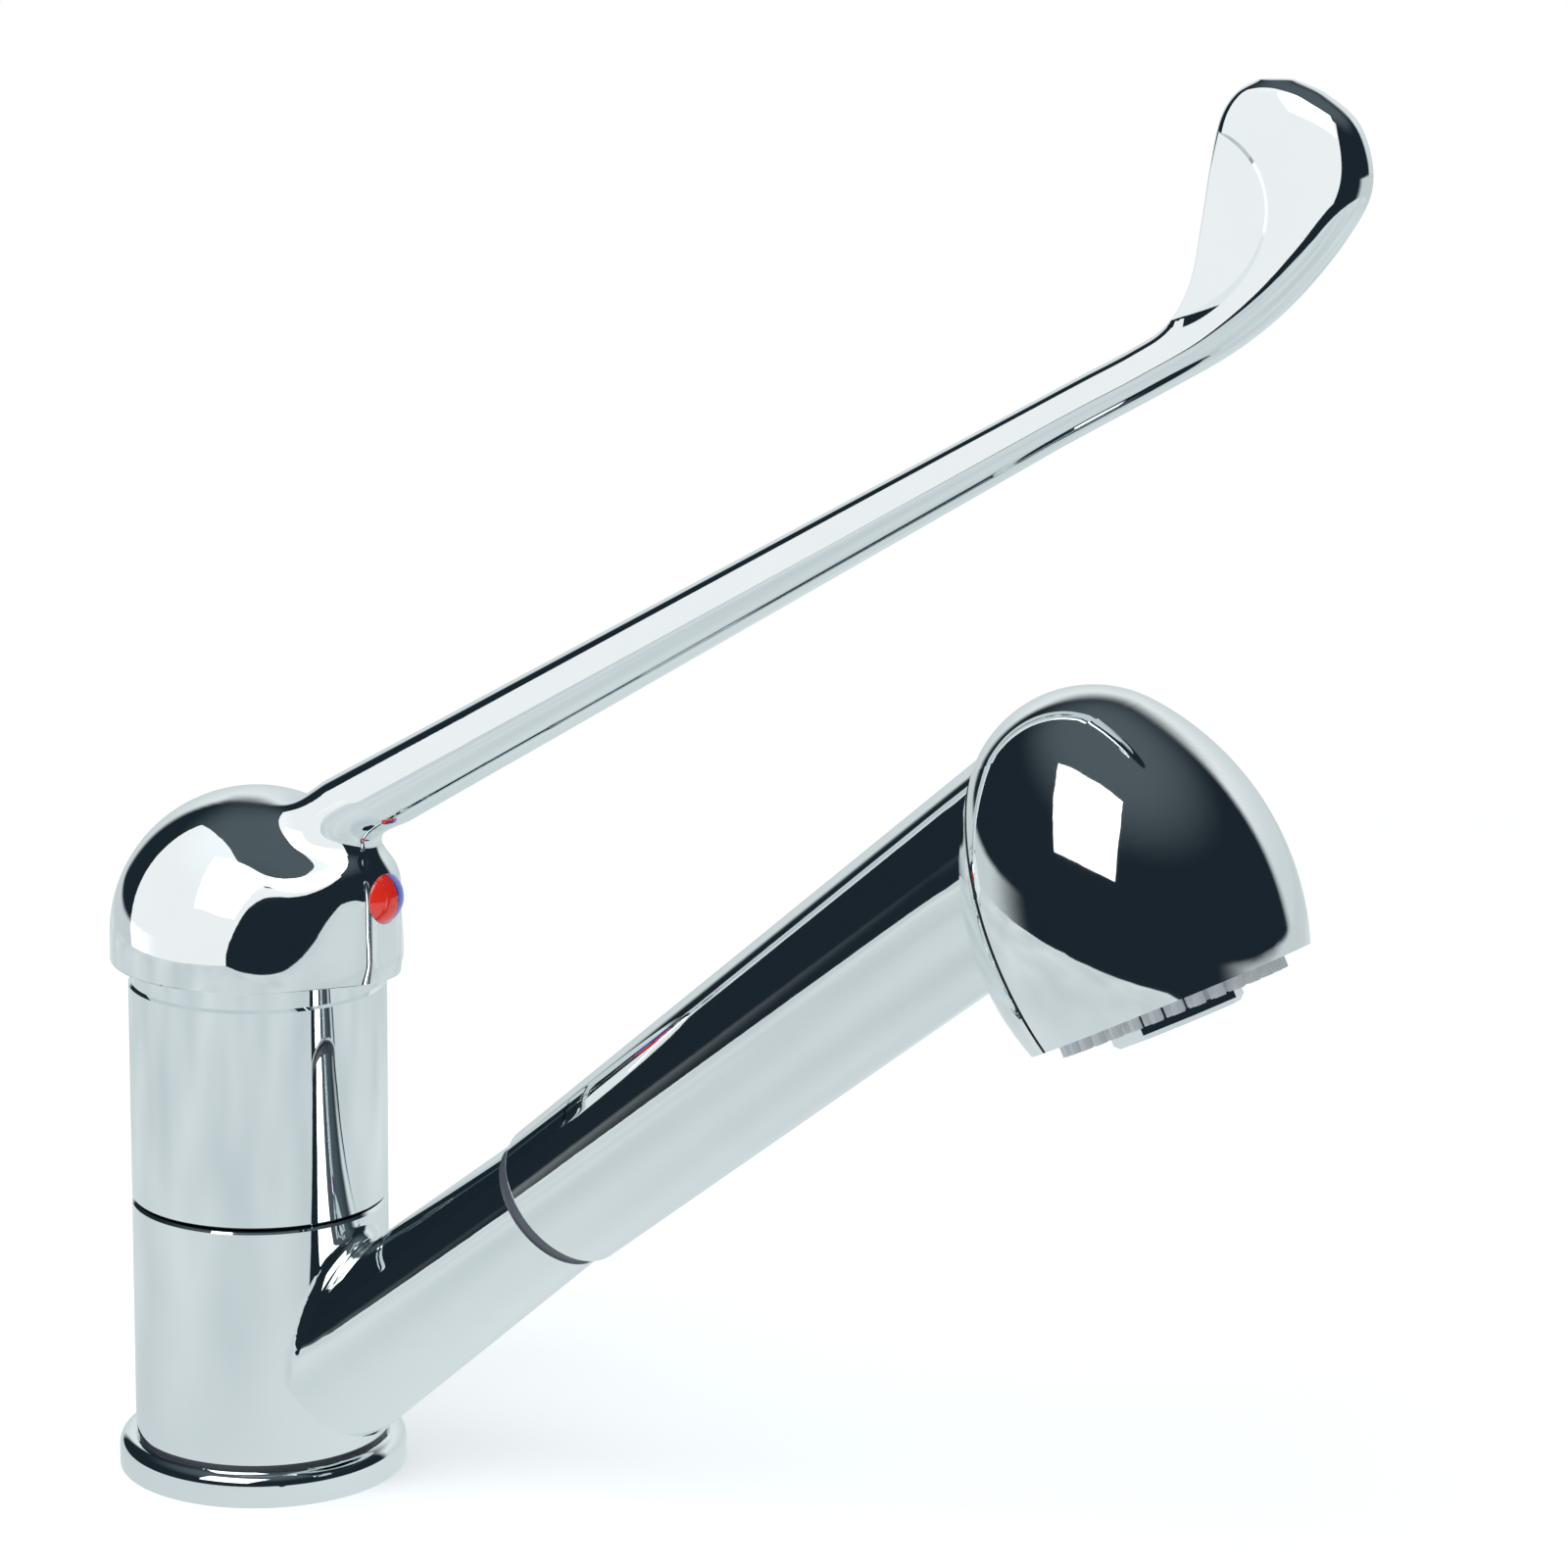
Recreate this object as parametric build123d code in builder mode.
"""Elbow lever tap with a pull-out spray handset.

The deck face is Z = 0 and +Z is up.  The barrel stands on the Z axis, and
the spout and the lever both point along -Y at rest.  Millimetres throughout.
"""

import os
from math import acos, atan2, cos, degrees, radians, sin, sqrt, tan

from build123d import *

os.makedirs("parts", exist_ok=True)

# Driving dimensions of the whole tap.  The barrel is drawn round its cartridge
# and its nut, and the seam lies just above the root of the spout's branch.
cartridge_r = 17.5
nut_step = 2.1
barrel_wall = 3.4
body_r = cartridge_r + nut_step + barrel_wall
body_top = 90.8
base_ring_step = 3.0
base_ring_r = body_r + base_ring_step
base_ring_h = 6.0
spout_angle = 39.6
spout_root_z = 6.9
branch_r_root = 15.24
seam_rise = 4.7
branch_slope = tan(radians(spout_angle))
seam_z = spout_root_z + body_r * branch_slope + branch_r_root / cos(radians(spout_angle)) + seam_rise
spout_end = 85.7
handset_start = 88.3
head_reach = 178.3
head_z = 130.6
head_r = 26.1
head_h = 36.8
head_tilt = 28.0
face_drop = 15.1
parting_back = 12.3
dome_step = 3.1
dome_r = body_r + dome_step
dome_z = 99.2
dome_rim_z = 94.7
arm_angle = 30.4
arm_root_z = 111.7
arm_length = 186.0
lift_pivot_z = 82.0

# Clearances and fits
run_gap = 0.3
slide_gap = 0.05
bore_gap = 0.1
seat_gap = 0.05
cut_over = 1.0

# Directions and working planes.  In the side plane the first coordinate is -Y
# and the second is Z.  In the tilted side planes the first coordinate runs
# along the named axis and the second one across it.
spout_dir = Vector(0, -cos(radians(spout_angle)), sin(radians(spout_angle)))
arm_dir = Vector(0, -cos(radians(arm_angle)), sin(radians(arm_angle)))
face_dir = Vector(0, -sin(radians(head_tilt)), -cos(radians(head_tilt)))
head_fwd = Vector(0, -cos(radians(head_tilt)), sin(radians(head_tilt)))
spout_root = Vector(0, 0, spout_root_z)
arm_root = Vector(0, 0, arm_root_z)
head_centre = Vector(0, -head_reach, head_z)

side = Plane(origin=(0, 0, 0), x_dir=(0, -1, 0), z_dir=(-1, 0, 0))
spout_side = Plane(origin=spout_root, x_dir=spout_dir, z_dir=(-1, 0, 0))
arm_side = Plane(origin=arm_root, x_dir=arm_dir, z_dir=(-1, 0, 0))
head_side = Plane(origin=head_centre, x_dir=face_dir, z_dir=(-1, 0, 0))
spout_axis = Axis(spout_root, spout_dir)
arm_axis = Axis(arm_root, arm_dir)
face_axis = Axis(head_centre, face_dir)
parting = Plane(origin=head_centre - head_fwd * parting_back, x_dir=(1, 0, 0), z_dir=head_fwd)


def across_spout(distance):
    """Plane square to the spout axis at a distance from its root."""
    return Plane(origin=spout_root + spout_dir * distance, x_dir=(1, 0, 0), z_dir=spout_dir)


def across_head(depth):
    """Plane square to the head's own axis, depth below the head centre."""
    return Plane(origin=head_centre + face_dir * depth, x_dir=(1, 0, 0), z_dir=face_dir)


# Base: a chromed trim ring on the deck, its rubber gasket and a thrust ring
stem_step = 4.0
stem_r = body_r - stem_step
base_round = 2.4
base_bore_r = stem_r + bore_gap
gasket_edge = 2.0
gasket_w = 2.4
gasket_out_r = base_ring_r - gasket_edge
gasket_in_r = gasket_out_r - gasket_w
gasket_h = 1.6
thrust_h = 0.8
thrust_step = 0.6
thrust_r = body_r - thrust_step
sleeve_bottom = base_ring_h + thrust_h + seat_gap

with BuildPart() as base_ring:
    with BuildSketch(Plane.XY):
        Circle(base_ring_r)
        Circle(base_bore_r, mode=Mode.SUBTRACT)
    extrude(amount=base_ring_h)
    top_rim = base_ring.edges().filter_by(GeomType.CIRCLE).group_by(Axis.Z)[-1].sort_by(SortBy.RADIUS)[-1]
    fillet(top_rim, radius=base_round)
    with BuildSketch(Plane.XY):
        Circle(gasket_out_r)
        Circle(gasket_in_r, mode=Mode.SUBTRACT)
    extrude(amount=gasket_h, mode=Mode.SUBTRACT)
base_ring.part.label = "base_ring"
export_step(base_ring.part, "parts/base_ring.step")

with BuildPart() as base_gasket:
    with BuildSketch(Plane.XY):
        Circle(gasket_out_r)
        Circle(gasket_in_r, mode=Mode.SUBTRACT)
    extrude(amount=gasket_h)
base_gasket.part.label = "base_gasket"
export_step(base_gasket.part, "parts/base_gasket.step")

with BuildPart() as thrust_ring:
    with BuildSketch(Plane.XY.offset(base_ring_h)):
        Circle(thrust_r)
        Circle(base_bore_r, mode=Mode.SUBTRACT)
    extrude(amount=thrust_h)
thrust_ring.part.label = "thrust_ring"
export_step(thrust_ring.part, "parts/thrust_ring.step")

# Main body: a brass casting.  Its stem carries the swivelling sleeve and is
# open at the front for the hose, and its barrel holds the cartridge.
barrel_bottom = seam_z + run_gap
window_y = 0.5
window_bottom = 10.0
window_top = 40.0
stem_wall = 3.5
hose_hole_r = stem_r - stem_wall
ring_groove_depth = 1.2
ring_height = 3.0
lower_ring_z = sleeve_bottom + seat_gap
upper_ring_z = seam_z - ring_height - run_gap
ring_stand = 0.4
ring_out_r = stem_r + ring_stand
sleeve_bore_r = ring_out_r + slide_gap
ring_in_r = stem_r - ring_groove_depth
inlet_r = 4.45
passage_r = 3.2
tap_depth = 14.0
stud_edge = 5.0
stud_y = stem_r - stud_edge
stud_r = 3.4
stud_depth = 24.0
cartridge_floor = 60.0
cartridge_bore_r = cartridge_r + bore_gap
nut_bottom = 80.0
nut_r = cartridge_r + nut_step
barrel_edge = 0.5
stop_pin_r = 1.5
stop_pin_z = 43.0
stop_pin_reach = 2.0
stop_pin_seat = 5.0
floor_place_shares = [(0.5474, 0.4105), (-0.5474, 0.4105), (0, 0.2737)]
floor_places = [(x * stem_r, y * stem_r) for x, y in floor_place_shares]

with BuildPart() as main_body:
    with BuildSketch(Plane.XY):
        Circle(stem_r)
    extrude(amount=barrel_bottom)
    with BuildSketch(Plane.XY.offset(barrel_bottom)):
        Circle(body_r)
    extrude(amount=body_top - barrel_bottom)
    barrel_rims = main_body.edges().filter_by(GeomType.CIRCLE).filter_by(
        lambda rim: abs(rim.radius - body_r) < seat_gap
    )
    chamfer(barrel_rims, length=barrel_edge)
    # Window for the hose, wide enough for the whole swivel
    with BuildSketch(Plane.XY.offset(window_bottom)):
        with Locations((0, -window_y - body_r / 2)):
            Rectangle(body_r * 2, body_r)
    extrude(amount=window_top - window_bottom, mode=Mode.SUBTRACT)
    with BuildSketch(Plane.XY):
        Circle(hose_hole_r)
        with Locations((0, hose_hole_r - window_y)):
            Rectangle(hose_hole_r * 2, hose_hole_r * 2, mode=Mode.SUBTRACT)
    extrude(amount=window_bottom, mode=Mode.SUBTRACT)
    # Grooves for the two slide rings
    for groove_z in (lower_ring_z, upper_ring_z):
        with BuildSketch(Plane.XY.offset(groove_z)):
            Circle(body_r)
            Circle(ring_in_r, mode=Mode.SUBTRACT)
        extrude(amount=ring_height, mode=Mode.SUBTRACT)
    # Cartridge chamber with the nut's bore above it
    with BuildSketch(Plane.XY.offset(cartridge_floor)):
        Circle(cartridge_bore_r)
    extrude(amount=body_top - cartridge_floor, mode=Mode.SUBTRACT)
    with BuildSketch(Plane.XY.offset(nut_bottom)):
        Circle(nut_r + bore_gap)
    extrude(amount=body_top - nut_bottom, mode=Mode.SUBTRACT)
    # Hot and cold inlets, the mixed outlet and the stud hole
    with BuildSketch(Plane.XY):
        with Locations(*floor_places):
            Circle(inlet_r)
    extrude(amount=tap_depth, mode=Mode.SUBTRACT)
    with BuildSketch(Plane.XY):
        with Locations(*floor_places):
            Circle(passage_r)
    extrude(amount=cartridge_floor, mode=Mode.SUBTRACT)
    with BuildSketch(Plane.XY):
        with Locations((0, stud_y)):
            Circle(stud_r)
    extrude(amount=stud_depth, mode=Mode.SUBTRACT)
    # Seat of the swivel stop pin, drilled from the back of the stem
    with BuildSketch(Plane(origin=(0, stem_r - stop_pin_seat, stop_pin_z), z_dir=(0, 1, 0))):
        Circle(stop_pin_r)
    extrude(amount=stop_pin_seat, mode=Mode.SUBTRACT)
main_body.part.label = "main_body"
export_step(main_body.part, "parts/main_body.step")

with BuildPart() as lower_slide_ring:
    with BuildSketch(Plane.XY.offset(lower_ring_z)):
        Circle(ring_out_r)
        Circle(ring_in_r, mode=Mode.SUBTRACT)
    extrude(amount=ring_height)
lower_slide_ring.part.label = "lower_slide_ring"
export_step(lower_slide_ring.part, "parts/lower_slide_ring.step")

with BuildPart() as upper_slide_ring:
    with BuildSketch(Plane.XY.offset(upper_ring_z)):
        Circle(ring_out_r)
        Circle(ring_in_r, mode=Mode.SUBTRACT)
    extrude(amount=ring_height)
upper_slide_ring.part.label = "upper_slide_ring"
export_step(upper_slide_ring.part, "parts/upper_slide_ring.step")

with BuildPart() as swivel_stop_pin:
    with BuildSketch(Plane(origin=(0, stem_r - stop_pin_seat, stop_pin_z), z_dir=(0, 1, 0))):
        Circle(stop_pin_r)
    extrude(amount=stop_pin_seat + stop_pin_reach)
swivel_stop_pin.part.label = "swivel_stop_pin"
export_step(swivel_stop_pin.part, "parts/swivel_stop_pin.step")

# Cartridge: base, port seals, shell, fixed ceramic disc
base_disc_h = 4.5
seal_squeeze = 1.0
seal_wall = 1.0
port_share = 0.75
port_r = 3.0
disc_step = 3.0
disc_r = cartridge_r - disc_step
disc_h = 3.5
shell_wall = 1.9
nut_thread_h = 4.0
shell_top = nut_bottom + nut_thread_h
shell_roof = 2.2
neck_step = 4.5
neck_r = cartridge_r - neck_step
neck_top = 88.0
neck_wall = 2.0
rotor_neck_r = neck_r - neck_wall
rotor_bore_r = rotor_neck_r + slide_gap * 2
shell_bottom = cartridge_floor + seal_squeeze + base_disc_h
fixed_disc_top = shell_bottom + disc_h
port_places = [(x * port_share, y * port_share) for x, y in floor_places]

with BuildPart() as cartridge_base:
    with BuildSketch(Plane.XY.offset(cartridge_floor)):
        Circle(cartridge_r)
    extrude(amount=seal_squeeze + base_disc_h)
    with BuildSketch(Plane.XY.offset(cartridge_floor)):
        with Locations(*floor_places):
            Circle(passage_r + seal_wall)
    extrude(amount=seal_squeeze, mode=Mode.SUBTRACT)
    with BuildSketch(Plane.XY.offset(cartridge_floor + seal_squeeze)):
        for low, high in zip(floor_places, port_places):
            with Locations(low):
                Circle(port_r)
            with Locations(high):
                Circle(port_r)
    extrude(amount=base_disc_h, mode=Mode.SUBTRACT)
cartridge_base.part.label = "cartridge_base"
export_step(cartridge_base.part, "parts/cartridge_base.step")

with BuildPart() as port_seals:
    with BuildSketch(Plane.XY.offset(cartridge_floor)):
        with Locations(*floor_places):
            Circle(passage_r + seal_wall)
            Circle(passage_r, mode=Mode.SUBTRACT)
    extrude(amount=seal_squeeze)
port_seals.part.label = "port_seals"
export_step(port_seals.part, "parts/port_seals.step")

with BuildPart() as fixed_disc:
    with BuildSketch(Plane.XY.offset(shell_bottom)):
        Circle(disc_r)
        with Locations(*port_places):
            Circle(port_r, mode=Mode.SUBTRACT)
    extrude(amount=disc_h)
fixed_disc.part.label = "fixed_disc"
export_step(fixed_disc.part, "parts/fixed_disc.step")

with BuildPart() as cartridge_shell:
    with BuildSketch(side):
        with BuildLine():
            Polyline(
                (cartridge_r - shell_wall, shell_bottom),
                (cartridge_r, shell_bottom),
                (cartridge_r, shell_top),
                (neck_r, shell_top),
                (neck_r, neck_top),
                (rotor_bore_r, neck_top),
                (rotor_bore_r, shell_top - shell_roof),
                (cartridge_r - shell_wall, shell_top - shell_roof),
                close=True,
            )
        make_face()
    revolve(axis=Axis.Z)
cartridge_shell.part.label = "cartridge_shell"
export_step(cartridge_shell.part, "parts/cartridge_shell.step")

# Cartridge nut and the plain ring that hides it
nut_top = 90.4
nut_hex_wall = 3.0
nut_hex_r = neck_r + nut_hex_wall
nut_rise = 1.2
trim_step = 0.5
trim_out_r = body_r - trim_step
trim_wall = 1.8
trim_h = 4.4
trim_lip_w = 5.3
trim_lip_r = trim_out_r - trim_lip_w
trim_lip_h = 0.9
trim_round = 0.7

with BuildPart() as cartridge_nut:
    with BuildSketch(Plane.XY.offset(shell_top)):
        Circle(nut_r)
        Circle(neck_r + bore_gap, mode=Mode.SUBTRACT)
    extrude(amount=nut_top - shell_top)
    with BuildSketch(Plane.XY.offset((shell_top + nut_top) / 2)):
        RegularPolygon(radius=nut_hex_r, side_count=6, major_radius=False)
        Circle(neck_r + bore_gap, mode=Mode.SUBTRACT)
    extrude(amount=(nut_top - shell_top) / 2 + nut_rise)
cartridge_nut.part.label = "cartridge_nut"
export_step(cartridge_nut.part, "parts/cartridge_nut.step")

with BuildPart() as trim_ring:
    with BuildSketch(side):
        with BuildLine():
            Polyline(
                (trim_out_r - trim_wall, body_top),
                (trim_out_r, body_top),
                (trim_out_r, body_top + trim_h),
                (trim_lip_r, body_top + trim_h),
                (trim_lip_r, body_top + trim_h - trim_lip_h),
                (trim_out_r - trim_wall, body_top + trim_h - trim_lip_h),
                close=True,
            )
        make_face()
    revolve(axis=Axis.Z)
    trim_edge = trim_ring.edges().filter_by(GeomType.CIRCLE).group_by(Axis.Z)[-1].sort_by(SortBy.RADIUS)[-1]
    fillet(trim_edge, radius=trim_round)
trim_ring.part.label = "trim_ring"
export_step(trim_ring.part, "parts/trim_ring.step")

# Turning rotor, its pivot pin, and the moving disc with its carrier
spindle_w = 8.0
spindle_tail_w = 5.0
moving_disc_step = 6.0
moving_disc_r = cartridge_r - moving_disc_step
moving_disc_h = 3.5
carrier_step = 0.5
carrier_r = moving_disc_r - carrier_step
carrier_h = 4.4
rotor_flange_step = 2.3
rotor_flange_r = cartridge_r - rotor_flange_step
rotor_flange_h = 4.0
rotor_top = 93.4
rotor_slot_w = spindle_tail_w + run_gap
rotor_slot_l = 17.0
pivot_pin_r = 1.5
pin_inset = 1.0
pivot_pin_l = (rotor_neck_r - pin_inset) * 2
chamber_r = 6.2
chamber_depth = 1.8
tip_r = 2.5
tip_gap = 0.35
moving_disc_z = fixed_disc_top + seat_gap
carrier_z = moving_disc_z + moving_disc_h
tip_z = carrier_z + tip_gap * 2 + tip_r
rotor_bottom = shell_top - shell_roof - rotor_flange_h - seat_gap

with BuildPart() as cartridge_rotor:
    with BuildSketch(Plane.XY.offset(rotor_bottom)):
        Circle(rotor_flange_r)
    extrude(amount=rotor_flange_h)
    with BuildSketch(Plane.XY.offset(rotor_bottom)):
        Circle(rotor_neck_r)
    extrude(amount=rotor_top - rotor_bottom)
    with BuildSketch(Plane.XY.offset(rotor_bottom)):
        Rectangle(rotor_slot_w, rotor_slot_l)
    extrude(amount=rotor_top - rotor_bottom, mode=Mode.SUBTRACT)
    with BuildSketch(Plane(origin=(-pivot_pin_l / 2, 0, lift_pivot_z), z_dir=(1, 0, 0))):
        Circle(pivot_pin_r)
    extrude(amount=pivot_pin_l, mode=Mode.SUBTRACT)
cartridge_rotor.part.label = "cartridge_rotor"
export_step(cartridge_rotor.part, "parts/cartridge_rotor.step")

with BuildPart() as pivot_pin:
    with BuildSketch(Plane(origin=(-pivot_pin_l / 2, 0, lift_pivot_z), z_dir=(1, 0, 0))):
        Circle(pivot_pin_r)
    extrude(amount=pivot_pin_l)
pivot_pin.part.label = "pivot_pin"
export_step(pivot_pin.part, "parts/pivot_pin.step")

with BuildPart() as moving_disc:
    with BuildSketch(Plane.XY.offset(moving_disc_z)):
        Circle(moving_disc_r)
    extrude(amount=moving_disc_h)
    with BuildSketch(Plane.XY.offset(moving_disc_z)):
        Circle(chamber_r)
    extrude(amount=chamber_depth, mode=Mode.SUBTRACT)
moving_disc.part.label = "moving_disc"
export_step(moving_disc.part, "parts/moving_disc.step")

with BuildPart() as disc_carrier:
    with BuildSketch(Plane.XY.offset(carrier_z)):
        Circle(carrier_r)
    extrude(amount=carrier_h)
    with BuildSketch(Plane.XY.offset(carrier_z + tip_gap)):
        Rectangle((tip_r + tip_gap) * 2, (tip_r + tip_gap) * 2)
    extrude(amount=carrier_h, mode=Mode.SUBTRACT)
disc_carrier.part.label = "disc_carrier"
export_step(disc_carrier.part, "parts/disc_carrier.step")

# Lever: one chromed casting with dome, lug, arm and paddle
dome_wall = 2.6
lug_w = 16.0
lug_step = 3.3
lug_reach = dome_r + lug_step
lug_top = 118.0
lug_corner = 2.6
lug_top_round = 3.5
arm_r_root = 7.0
arm_r_end = 4.2
arm_embed = 8.0
boss_r = 8.0
boss_bottom = 98.5
spindle_top = 117.0
socket_gap = 0.05
screw_z = 109.6
screw_r = 2.5
screw_rib_r = 5.0
plug_r = 4.45
plug_depth = 3.0
plug_bulge = 2.4
root_fillet = 4.0

# Paddle: a smooth loft from the round end of the arm through oval sections
# up to the crown.  Each row has the inner edge, the outer edge and half the
# thickness, as shares of the paddle's reach, height and thickness.
paddle_reach = 54.0
paddle_height = 56.0
paddle_t = 9.6
paddle_section_shares = [
    ((0.117, 0.152), (0.178, 0.014), 0.44),
    ((0.282, 0.237), (0.371, 0.120), 0.46),
    ((0.391, 0.309), (0.600, 0.255), 0.49),
    ((0.463, 0.432), (0.780, 0.405), 0.50),
    ((0.494, 0.600), (0.933, 0.591), 0.50),
    ((0.517, 0.760), (0.996, 0.729), 0.50),
    ((0.540, 0.880), (0.955, 0.875), 0.45),
    ((0.585, 0.950), (0.850, 0.955), 0.33),
    ((0.655, 0.988), (0.745, 0.992), 0.14),
]
scoop_depth = 2.2
scoop_shares = [
    (0.450, 0.325),
    (0.585, 0.395),
    (0.698, 0.529),
    (0.733, 0.650),
    (0.707, 0.736),
    (0.587, 0.843),
    (0.500, 0.875),
]
scoop_open_shares = [(0.380, 0.875), (0.380, 0.325)]

arm_end = arm_root + arm_dir * arm_length
paddle_side = Plane(origin=arm_end, x_dir=(0, -1, 0), z_dir=(-1, 0, 0))


def paddle_point(share):
    """Turn one pair of shares into a sketch point of the paddle."""
    return Vector(share[0] * paddle_reach, share[1] * paddle_height)


with BuildPart() as arm:
    with BuildSketch(Plane(origin=arm_end, x_dir=Vector(1, 0, 0).cross(arm_dir), z_dir=arm_dir)):
        Circle(arm_r_end)
    for inner_share, outer_share, half_share in paddle_section_shares:
        inner = paddle_side.from_local_coords(paddle_point(inner_share))
        outer = paddle_side.from_local_coords(paddle_point(outer_share))
        span = outer - inner
        with BuildSketch(Plane(origin=(inner + outer) / 2, x_dir=span, z_dir=span.cross(Vector(1, 0, 0)))):
            Ellipse(span.length / 2, paddle_t * half_share)
    loft()
    for face_side in (1, -1):
        with BuildSketch(paddle_side.offset(face_side * (paddle_t / 2 - scoop_depth))):
            with BuildLine():
                scoop = Spline(*[paddle_point(share) for share in scoop_shares])
                Polyline(scoop @ 1, *[paddle_point(share) for share in scoop_open_shares], scoop @ 0)
            make_face()
        extrude(amount=face_side * paddle_t, mode=Mode.SUBTRACT)
    # Tapered arm behind the paddle
    with BuildSketch(arm_side):
        with BuildLine():
            Polyline(
                (arm_embed, 0),
                (arm_embed, arm_r_root),
                (arm_length, arm_r_end),
                (arm_length, 0),
                close=True,
            )
        make_face()
    revolve(axis=arm_axis)

with BuildPart() as lever_handle:
    with BuildSketch(side):
        with BuildLine():
            skirt = Line((dome_r, dome_rim_z), (dome_r, dome_z))
            crown = CenterArc((0, dome_z), dome_r, 0, 90)
            Polyline(crown @ 1, (0, dome_rim_z), skirt @ 0)
        make_face()
    revolve(axis=Axis.Z)
    # Lug below the arm, which holds the index plug
    with BuildSketch(Plane.XY.offset(dome_rim_z)):
        with Locations((0, -lug_reach / 2)):
            Rectangle(lug_w, lug_reach)
        fillet(vertices().group_by(Axis.Y)[0], radius=lug_corner)
    extrude(amount=lug_top - dome_rim_z)
    lug_rim = lever_handle.edges().filter_by(
        lambda e: e.center().Z > lug_top - seat_gap and e.center().Y < -dome_r
    )
    fillet(lug_rim, radius=lug_top_round)
    add(arm.part)
    root_edges = lever_handle.edges().filter_by(GeomType.BSPLINE).filter_by(
        lambda e: dome_z < e.center().Z < arm_root_z + dome_r
    )
    fillet(root_edges, radius=root_fillet)
    # Hollow of the dome, leaving the boss for the spindle
    with BuildSketch(side):
        with BuildLine():
            inner_r = dome_r - dome_wall
            wall = Line((inner_r, dome_rim_z), (inner_r, dome_z))
            roof = CenterArc((0, dome_z), inner_r, 0, degrees(acos(boss_r / inner_r)))
            Polyline(roof @ 1, (boss_r, boss_bottom), (0, boss_bottom), (0, dome_rim_z), wall @ 0)
        make_face()
    revolve(axis=Axis.Z, mode=Mode.SUBTRACT)
    # Rib that carries the set screw from the wall to the boss
    with BuildSketch(Plane(origin=(0, -boss_r / 2, screw_z), x_dir=(1, 0, 0), z_dir=(0, -1, 0))):
        Circle(screw_rib_r)
    extrude(amount=dome_r - dome_wall - boss_r / 2)
    # Socket for the spindle, hole for the screw and seat for the plug
    with BuildSketch(Plane.XY.offset(boss_bottom)):
        Rectangle(spindle_w + socket_gap * 2, spindle_w + socket_gap * 2)
    extrude(amount=spindle_top - boss_bottom, mode=Mode.SUBTRACT)
    with BuildSketch(Plane(origin=(0, 0, screw_z), x_dir=(1, 0, 0), z_dir=(0, -1, 0))):
        Circle(screw_r)
    extrude(amount=lug_reach, mode=Mode.SUBTRACT)
    with BuildSketch(Plane(origin=(0, -lug_reach, screw_z), x_dir=(1, 0, 0), z_dir=(0, 1, 0))):
        Circle(plug_r)
    extrude(amount=plug_depth, mode=Mode.SUBTRACT)
lever_handle.part.label = "lever_handle"
export_step(lever_handle.part, "parts/lever_handle.step")

# Spindle: square above, with a thin tail that crosses the pin and ends in a
# narrow neck and a round tip inside the disc carrier
spindle_foot = 96.8
spindle_neck_w = 3.6
tail_foot = lift_pivot_z - spindle_tail_w / 2

with BuildPart() as spindle:
    with BuildSketch(Plane.XY.offset(spindle_foot)):
        Rectangle(spindle_w, spindle_w)
    extrude(amount=spindle_top - spindle_foot)
    with BuildSketch(Plane.XY.offset(tail_foot)):
        Rectangle(spindle_tail_w, spindle_tail_w)
    extrude(amount=spindle_foot - tail_foot)
    with BuildSketch(Plane.XY.offset(tip_z)):
        Rectangle(spindle_neck_w, spindle_neck_w)
    extrude(amount=tail_foot - tip_z)
    with Locations((0, 0, tip_z)):
        Sphere(tip_r)
    with BuildSketch(Plane(origin=(-pivot_pin_l / 2, 0, lift_pivot_z), z_dir=(1, 0, 0))):
        Circle(pivot_pin_r + slide_gap)
    extrude(amount=pivot_pin_l, mode=Mode.SUBTRACT)
spindle.part.label = "spindle"
export_step(spindle.part, "parts/spindle.step")

set_screw_l = 12.0
set_screw_hex = 2.5

with BuildPart() as set_screw:
    screw_start = spindle_w / 2
    with BuildSketch(Plane(origin=(0, -screw_start, screw_z), x_dir=(1, 0, 0), z_dir=(0, -1, 0))):
        Circle(screw_r - seat_gap)
    extrude(amount=set_screw_l)
    with BuildSketch(Plane(origin=(0, -screw_start - set_screw_l, screw_z), z_dir=(0, 1, 0))):
        RegularPolygon(radius=set_screw_hex / 2, side_count=6, major_radius=False)
    extrude(amount=set_screw_hex, mode=Mode.SUBTRACT)
set_screw.part.label = "set_screw"
export_step(set_screw.part, "parts/set_screw.step")

# Index plug: a carrier pressed into the lug and two coloured half lenses
plug_shank_l = 4.0
plug_flange_h = 1.0
lens_r = plug_r - seat_gap
lens_ball_r = (lens_r**2 + plug_bulge**2) / (2 * plug_bulge)
plug_face_y = -lug_reach + plug_depth - plug_flange_h
plug_plane = Plane(origin=(0, plug_face_y, screw_z), x_dir=(1, 0, 0), z_dir=(0, -1, 0))

with BuildPart() as index_plug:
    with BuildSketch(plug_plane):
        Circle(lens_r)
    extrude(amount=-plug_flange_h)
    with BuildSketch(plug_plane):
        Circle(screw_r - seat_gap)
    extrude(amount=-plug_shank_l)
index_plug.part.label = "index_plug"
export_step(index_plug.part, "parts/index_plug.step")

lens_axis = Axis((0, 0, screw_z), (0, -1, 0))
lens_plane = Plane(origin=(0, plug_face_y, screw_z), x_dir=(0, -1, 0), z_dir=(-1, 0, 0))
lens_depth = plug_depth - plug_flange_h

with BuildPart() as lens:
    with BuildSketch(lens_plane):
        with BuildLine():
            straight = Line((0, lens_r), (lens_depth, lens_r))
            bulge = RadiusArc(straight @ 1, (lens_depth + plug_bulge, 0), lens_ball_r)
            Polyline(bulge @ 1, (0, 0), straight @ 0)
        make_face()
    revolve(axis=lens_axis)

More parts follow.
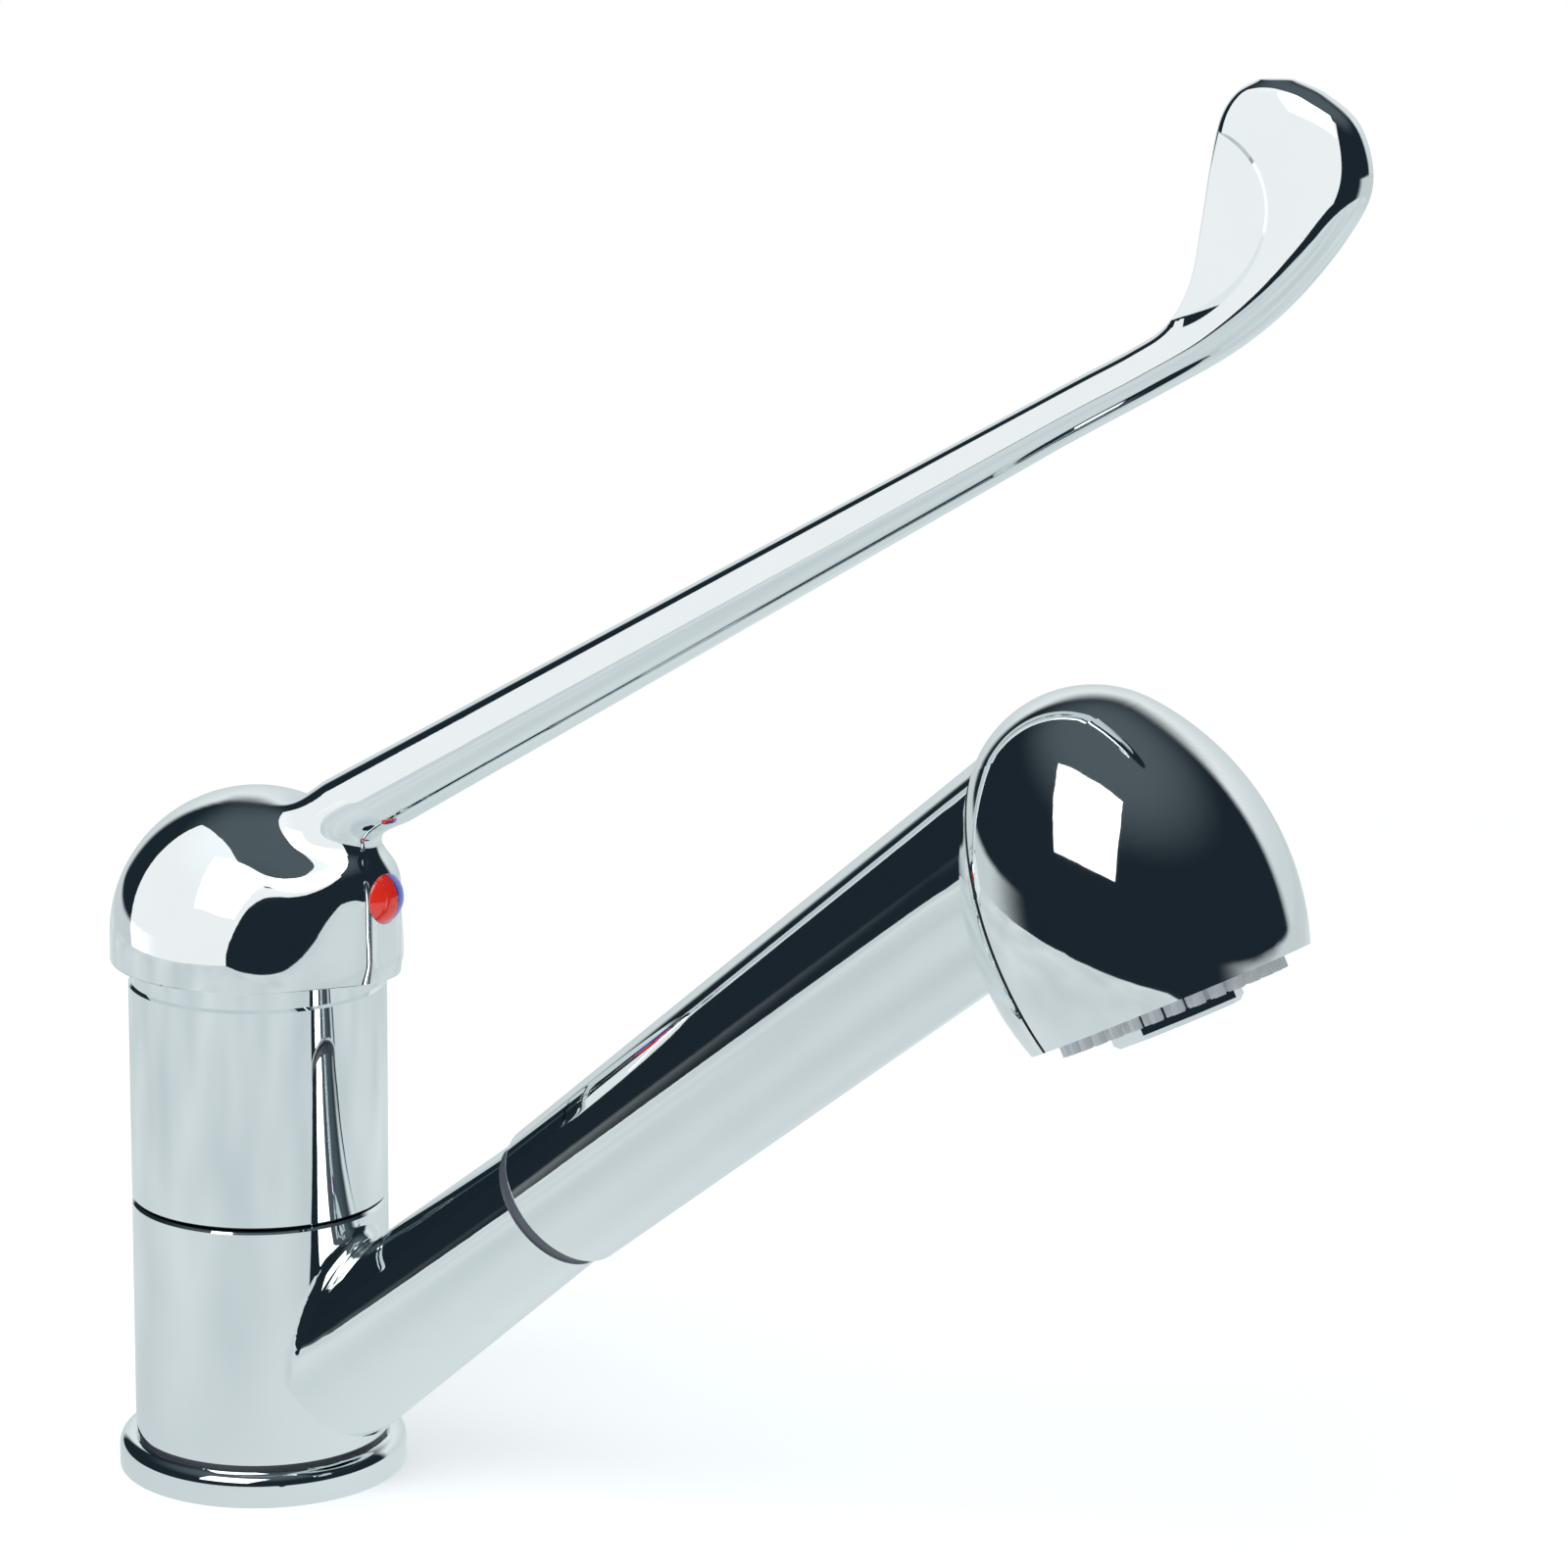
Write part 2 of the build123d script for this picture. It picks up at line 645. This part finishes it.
with BuildPart() as index_red:
    add(lens.part)
    split(bisect_by=Plane.YZ, keep=Keep.BOTTOM)
index_red.part.label = "index_red"
export_step(index_red.part, "parts/index_red.step")

with BuildPart() as index_blue:
    add(lens.part)
    split(bisect_by=Plane.YZ, keep=Keep.TOP)
index_blue.part.label = "index_blue"
export_step(index_blue.part, "parts/index_blue.step")

# Spout: swivelling sleeve with its tapered branch, and the docking collar
branch_r_end = 12.4
branch_bore_r = 10.6
collar_seat_r = 11.3
collar_seat_l = 13.0
collar_lip_r = 12.0
collar_lip_l = 2.5
tail_r = 9.6
collar_bore_r = tail_r + bore_gap
stop_slot_half = 66.0
stop_slot_gap = 0.4
sleeve_edge = 0.5
branch_fillet = 2.5
branch_taper = (branch_r_root - branch_r_end) / spout_end
stop_slot_r = stem_r + stop_pin_reach + stop_slot_gap

with BuildPart() as spout_sleeve:
    with BuildSketch(Plane.XY.offset(sleeve_bottom)):
        Circle(body_r)
    extrude(amount=seam_z - sleeve_bottom)
    top_edge = spout_sleeve.edges().filter_by(GeomType.CIRCLE).group_by(Axis.Z)[-1]
    chamfer(top_edge, length=sleeve_edge)
    with BuildSketch(spout_side):
        with BuildLine():
            Polyline(
                (body_r, 0),
                (body_r, branch_r_root - branch_taper * body_r),
                (spout_end, branch_r_end),
                (spout_end, 0),
                close=True,
            )
        make_face()
    revolve(axis=spout_axis)
    joint_edges = spout_sleeve.edges().filter_by(GeomType.BSPLINE)
    fillet(joint_edges, radius=branch_fillet)
    with BuildSketch(Plane.XY.offset(sleeve_bottom)):
        Circle(sleeve_bore_r)
    extrude(amount=seam_z - sleeve_bottom, mode=Mode.SUBTRACT)
    with BuildSketch(across_spout(spout_end)):
        Circle(branch_bore_r)
    extrude(amount=-(spout_end - hose_hole_r), mode=Mode.SUBTRACT)
    with BuildSketch(across_spout(spout_end)):
        Circle(collar_seat_r)
    extrude(amount=-collar_seat_l, mode=Mode.SUBTRACT)
    # Slot that the stop pin runs in, at the back of the bore
    with BuildSketch(Plane.XY.offset(stop_pin_z - stop_pin_r - stop_slot_gap)):
        with BuildLine():
            slot = CenterArc((0, 0), stop_slot_r, 90 - stop_slot_half, stop_slot_half * 2)
            Polyline(slot @ 1, (0, 0), slot @ 0)
        make_face()
    extrude(amount=(stop_pin_r + stop_slot_gap) * 2, mode=Mode.SUBTRACT)
spout_sleeve.part.label = "spout_sleeve"
export_step(spout_sleeve.part, "parts/spout_sleeve.step")

with BuildPart() as docking_collar:
    with BuildSketch(across_spout(spout_end)):
        Circle(collar_seat_r)
    extrude(amount=-collar_seat_l)
    with BuildSketch(across_spout(spout_end)):
        Circle(collar_lip_r)
    extrude(amount=collar_lip_l)
    with BuildSketch(across_spout(spout_end + collar_lip_l)):
        Circle(collar_bore_r)
    extrude(amount=-(collar_seat_l + collar_lip_l), mode=Mode.SUBTRACT)
docking_collar.part.label = "docking_collar"
export_step(docking_collar.part, "parts/docking_collar.step")

# Handset: a tapered tube that swells into the back of the spray head
tube_r_start = 13.3
tube_r_end = 15.9
tube_end = 214.0
tube_wall = 2.2
tail_seat_r = 11.0
tail_seat_l = 9.0
head_wall = 2.4
seal_t = 0.8
seal_inset = 0.5
start_edge = 0.5
crown_share = 0.77
crown_r = head_r * crown_share
crown_at = crown_r - head_h
flank_r = (head_h**2 + head_r**2 - 2 * head_h * crown_r) / (2 * (head_r - crown_r))
flank_at = head_r - flank_r
arc_join = degrees(atan2(-flank_at, crown_at))
form_start = degrees(acos(face_drop / flank_r))
core_flank_r = flank_r - head_wall
core_crown_r = crown_r - head_wall
core_start = degrees(acos(face_drop / core_flank_r))
core_face_r = flank_at + sqrt(core_flank_r**2 - face_drop**2)
groove_flank_r = flank_r - seal_inset
groove_crown_r = crown_r - seal_inset
groove_start = degrees(acos(face_drop / groove_flank_r))

with BuildPart() as head_form:
    with BuildSketch(head_side):
        with BuildLine():
            flank = CenterArc((0, flank_at), flank_r, form_start, arc_join - form_start)
            crown = CenterArc((crown_at, 0), crown_r, arc_join, 180 - arc_join)
            Polyline(crown @ 1, (face_drop, 0), flank @ 0)
        make_face()
    revolve(axis=face_axis)

with BuildPart() as head_core:
    with BuildSketch(head_side):
        with BuildLine():
            flank = CenterArc((0, flank_at), core_flank_r, core_start, arc_join - core_start)
            crown = CenterArc((crown_at, 0), core_crown_r, arc_join, 180 - arc_join)
            Polyline(crown @ 1, (face_drop + cut_over, 0), (face_drop + cut_over, core_face_r), flank @ 0)
        make_face()
    revolve(axis=face_axis)

with BuildPart() as handset_body:
    with BuildSketch(spout_side):
        with BuildLine():
            Polyline(
                (handset_start, 0),
                (handset_start, tube_r_start),
                (tube_end, tube_r_end),
                (tube_end, 0),
                close=True,
            )
        make_face()
    revolve(axis=spout_axis)
    start_rim = handset_body.edges().filter_by(GeomType.CIRCLE).sort_by(spout_axis)[0]
    fillet(start_rim, radius=start_edge)
    add(head_form.part)
    split(bisect_by=parting.offset(-seal_t / 2), keep=Keep.BOTTOM)
    add(head_core.part, mode=Mode.SUBTRACT)
    with BuildSketch(spout_side):
        with BuildLine():
            Polyline(
                (handset_start, 0),
                (handset_start, tail_seat_r),
                (handset_start + tail_seat_l, tail_seat_r),
                (tube_end, tube_r_end - tube_wall),
                (tube_end, 0),
                close=True,
            )
        make_face()
    revolve(axis=spout_axis, mode=Mode.SUBTRACT)
handset_body.part.label = "handset_body"
export_step(handset_body.part, "parts/handset_body.step")

with BuildPart() as head_shell:
    add(head_form.part)
    split(bisect_by=parting.offset(seal_t / 2), keep=Keep.TOP)
    add(head_core.part, mode=Mode.SUBTRACT)
head_shell.part.label = "head_shell"
export_step(head_shell.part, "parts/head_shell.step")

with BuildPart() as parting_seal:
    with BuildSketch(head_side):
        with BuildLine():
            flank = CenterArc((0, flank_at), groove_flank_r, groove_start, arc_join - groove_start)
            crown = CenterArc((crown_at, 0), groove_crown_r, arc_join, 180 - arc_join)
            Polyline(crown @ 1, (face_drop, 0), flank @ 0)
        make_face()
    revolve(axis=face_axis)
    split(bisect_by=parting.offset(seal_t / 2), keep=Keep.BOTTOM)
    split(bisect_by=parting.offset(-seal_t / 2), keep=Keep.TOP)
    add(head_core.part, mode=Mode.SUBTRACT)
parting_seal.part.label = "parting_seal"
export_step(parting_seal.part, "parts/parting_seal.step")

# Docking tail of the handset, its sealing ring, the hose union and the valve
tail_start = 74.0
tail_bore_r = 8.2
tail_groove_z = 79.0
tail_groove_w = 1.8
tail_groove_depth = 0.9
union_start = 74.5
union_r = tail_bore_r - seat_gap
hose_thread_r = 6.95
hose_thread_l = 12.0
thread_relief_r = 7.3
thread_relief_l = 1.0
union_web = 1.0
union_web_r = 4.4
valve_r = 5.9
valve_l = 8.4
tube_socket_l = 4.0
water_tube_r = 5.0
water_tube_bore_r = 3.9
union_nose_r = 7.0
thread_floor = union_start + hose_thread_l
valve_start = thread_floor + union_web
socket_start = valve_start + valve_l + seat_gap
union_end = socket_start + tube_socket_l

with BuildPart() as docking_tail:
    with BuildSketch(across_spout(tail_start)):
        Circle(tail_r)
    extrude(amount=handset_start - tail_start)
    with BuildSketch(across_spout(handset_start)):
        Circle(tail_seat_r)
    extrude(amount=tail_seat_l)
    with BuildSketch(across_spout(tail_start)):
        Circle(tail_bore_r)
    extrude(amount=handset_start + tail_seat_l - tail_start, mode=Mode.SUBTRACT)
    with BuildSketch(across_spout(tail_groove_z)):
        Circle(tail_r)
        Circle(tail_r - tail_groove_depth, mode=Mode.SUBTRACT)
    extrude(amount=tail_groove_w, mode=Mode.SUBTRACT)
docking_tail.part.label = "docking_tail"
export_step(docking_tail.part, "parts/docking_tail.step")

with BuildPart() as tail_ring:
    with BuildSketch(across_spout(tail_groove_z)):
        Circle(tail_r + seat_gap)
        Circle(tail_r - tail_groove_depth, mode=Mode.SUBTRACT)
    extrude(amount=tail_groove_w)
tail_ring.part.label = "tail_ring"
export_step(tail_ring.part, "parts/tail_ring.step")

with BuildPart() as hose_union:
    with BuildSketch(spout_side):
        with BuildLine():
            Polyline(
                (union_start, hose_thread_r),
                (union_start, union_r),
                (handset_start + tail_seat_l, union_r),
                (handset_start + tail_seat_l, union_nose_r),
                (union_end, union_nose_r),
                (union_end, water_tube_r + seat_gap),
                (socket_start, water_tube_r + seat_gap),
                (socket_start, valve_r + seat_gap),
                (valve_start, valve_r + seat_gap),
                (valve_start, union_web_r),
                (thread_floor, union_web_r),
                (thread_floor, thread_relief_r),
                (thread_floor - thread_relief_l, thread_relief_r),
                (thread_floor - thread_relief_l, hose_thread_r),
                close=True,
            )
        make_face()
    revolve(axis=spout_axis)
hose_union.part.label = "hose_union"
export_step(hose_union.part, "parts/hose_union.step")

valve_wall = 1.3
valve_poppet_r = 3.2
valve_stem_r = 1.0
valve_rib_w = 1.2

with BuildPart() as check_valve:
    with BuildSketch(across_spout(valve_start)):
        Circle(valve_r)
        Circle(valve_r - valve_wall, mode=Mode.SUBTRACT)
    extrude(amount=valve_l)
    with BuildSketch(across_spout(valve_start + valve_l / 2)):
        Rectangle(valve_rib_w, (valve_r - valve_wall / 2) * 2)
        Rectangle((valve_r - valve_wall / 2) * 2, valve_rib_w)
    extrude(amount=valve_wall)
    with BuildSketch(across_spout(valve_start + valve_wall)):
        Circle(valve_stem_r)
    extrude(amount=valve_l / 2)
    with BuildSketch(across_spout(valve_start + valve_wall)):
        Circle(valve_poppet_r)
    extrude(amount=valve_wall)
check_valve.part.label = "check_valve"
export_step(check_valve.part, "parts/check_valve.step")

# Spray head: water tube, chamber, rubber nozzles and the spray plate.  The
# nozzles are small eight-sided prisms in a soft mat.
inlet_r_out = 7.0
inlet_rise = 25.0
tube_stop = 4.6
tube_clear_l = 15.0
axes_cross = spout_dir.cross(face_dir).X
meet_distance = (head_centre - spout_root).cross(face_dir).X / axes_cross
meet_depth = (spout_root - head_centre).cross(spout_dir).X / axes_cross
water_tube_end = meet_distance - tube_stop
chamber_r_out = 20.4
chamber_top = 2.0
chamber_wall = 1.6
mat_back = 10.8
plate_back = 12.0
plate_front = 14.6
plate_r = 21.1
selector_neck_r = 9.0
selector_socket_r = selector_neck_r + 2 * bore_gap
selector_socket_wall = 1.5
nozzle_r = 1.0
nozzle_out = 2.5
nozzle_sides = 8
outer_nozzle_ring_r = 18.0
inner_nozzle_ring_r = 14.4
outer_nozzle_count = 32
inner_nozzle_count = 24
nozzle_rings = [(outer_nozzle_ring_r, outer_nozzle_count), (inner_nozzle_ring_r, inner_nozzle_count)]
mat_out_r = 20.0
mat_in_r = 12.4

with BuildPart() as water_tube:
    with BuildSketch(across_spout(socket_start + seat_gap)):
        Circle(water_tube_r)
        Circle(water_tube_bore_r, mode=Mode.SUBTRACT)
    extrude(amount=water_tube_end - socket_start - seat_gap)
water_tube.part.label = "water_tube"
export_step(water_tube.part, "parts/water_tube.step")

with BuildPart() as water_chamber:
    with BuildSketch(across_head(chamber_top)):
        Circle(chamber_r_out)
    extrude(amount=mat_back - chamber_top)
    with BuildSketch(across_head(-inlet_rise)):
        Circle(inlet_r_out)
    extrude(amount=inlet_rise + chamber_top)
    with BuildSketch(across_head(chamber_top + chamber_wall)):
        Circle(chamber_r_out - chamber_wall)
        Circle(selector_socket_r + selector_socket_wall, mode=Mode.SUBTRACT)
    extrude(amount=mat_back, mode=Mode.SUBTRACT)
    with BuildSketch(across_head(chamber_top + chamber_wall)):
        Circle(selector_socket_r)
    extrude(amount=mat_back, mode=Mode.SUBTRACT)
    with BuildSketch(across_head(-meet_depth)):
        Circle(water_tube_bore_r)
    extrude(amount=meet_depth + chamber_top + chamber_wall, mode=Mode.SUBTRACT)
    with BuildSketch(across_spout(water_tube_end)):
        Circle(water_tube_bore_r)
    extrude(amount=meet_distance - water_tube_end, mode=Mode.SUBTRACT)
    with BuildSketch(across_spout(water_tube_end)):
        Circle(water_tube_r + seat_gap)
    extrude(amount=-tube_clear_l, mode=Mode.SUBTRACT)
water_chamber.part.label = "water_chamber"
export_step(water_chamber.part, "parts/water_chamber.step")

with BuildPart() as spray_nozzles:
    with BuildSketch(across_head(mat_back)):
        Circle(mat_out_r)
        Circle(mat_in_r, mode=Mode.SUBTRACT)
    extrude(amount=plate_back - mat_back)
    with BuildSketch(across_head(plate_back)):
        for ring_r, count in nozzle_rings:
            with PolarLocations(ring_r, count):
                RegularPolygon(radius=nozzle_r, side_count=nozzle_sides)
    extrude(amount=plate_front + nozzle_out - plate_back)
spray_nozzles.part.label = "spray_nozzles"
export_step(spray_nozzles.part, "parts/spray_nozzles.step")

with BuildPart() as spray_plate:
    with BuildSketch(across_head(plate_back)):
        Circle(plate_r)
        Circle(selector_neck_r + 2 * bore_gap, mode=Mode.SUBTRACT)
        for ring_r, count in nozzle_rings:
            with PolarLocations(ring_r, count):
                RegularPolygon(radius=nozzle_r + seat_gap, side_count=nozzle_sides, mode=Mode.SUBTRACT)
    extrude(amount=plate_front - plate_back)
spray_plate.part.label = "spray_plate"
export_step(spray_plate.part, "parts/spray_plate.step")

# Jet selector: a faceted knob with the aerator in it, turned by its flats
knob_r = 11.3
knob_back = 14.9
knob_front = 19.2
knob_edge = 0.8
aerator_bore_r = 7.2
selector_back = 6.4
selector_disc_t = 2.0
selector_ring_depth = 0.9
selector_ring_at = 8.6
selector_ring_w = 1.6
insert_back = 11.0
insert_front = 18.4
mesh_hole_r = 0.7
mesh_pitch = 1.9
mesh_ring_count = 3
mesh_first_count = 6
window_r = 2.4
window_ring_r = 5.2

with BuildPart() as aerator_housing:
    with BuildSketch(across_head(knob_back)):
        RegularPolygon(radius=knob_r, side_count=8)
    extrude(amount=knob_front - knob_back)
    knob_rim = aerator_housing.faces().sort_by(face_axis)[-1].edges()
    chamfer(knob_rim, length=knob_edge)
    with BuildSketch(across_head(selector_back)):
        Circle(selector_neck_r)
    extrude(amount=knob_back - selector_back)
    with BuildSketch(across_head(selector_back)):
        Circle(aerator_bore_r)
    extrude(amount=knob_front - selector_back, mode=Mode.SUBTRACT)
    with BuildSketch(across_head(selector_ring_at)):
        Circle(selector_neck_r)
        Circle(selector_neck_r - selector_ring_depth, mode=Mode.SUBTRACT)
    extrude(amount=selector_ring_w, mode=Mode.SUBTRACT)
aerator_housing.part.label = "aerator_housing"
export_step(aerator_housing.part, "parts/aerator_housing.step")

with BuildPart() as aerator_seal:
    with BuildSketch(across_head(selector_ring_at)):
        Circle(selector_neck_r + bore_gap)
        Circle(selector_neck_r - selector_ring_depth, mode=Mode.SUBTRACT)
    extrude(amount=selector_ring_w)
aerator_seal.part.label = "aerator_seal"
export_step(aerator_seal.part, "parts/aerator_seal.step")

with BuildPart() as aerator_insert:
    with BuildSketch(across_head(insert_back)):
        Circle(aerator_bore_r - seat_gap)
    extrude(amount=insert_front - insert_back)
    with BuildSketch(across_head(insert_back)):
        for ring in range(1, mesh_ring_count + 1):
            with PolarLocations(mesh_pitch * ring, mesh_first_count * ring):
                RegularPolygon(radius=mesh_hole_r, side_count=6)
    extrude(amount=insert_front - insert_back, mode=Mode.SUBTRACT)
aerator_insert.part.label = "aerator_insert"
export_step(aerator_insert.part, "parts/aerator_insert.step")

with BuildPart() as selector_disc:
    with BuildSketch(across_head(selector_back - selector_disc_t)):
        Circle(selector_neck_r)
        with PolarLocations(window_ring_r, 2):
            Circle(window_r, mode=Mode.SUBTRACT)
    extrude(amount=selector_disc_t)
selector_disc.part.label = "selector_disc"
export_step(selector_disc.part, "parts/selector_disc.step")
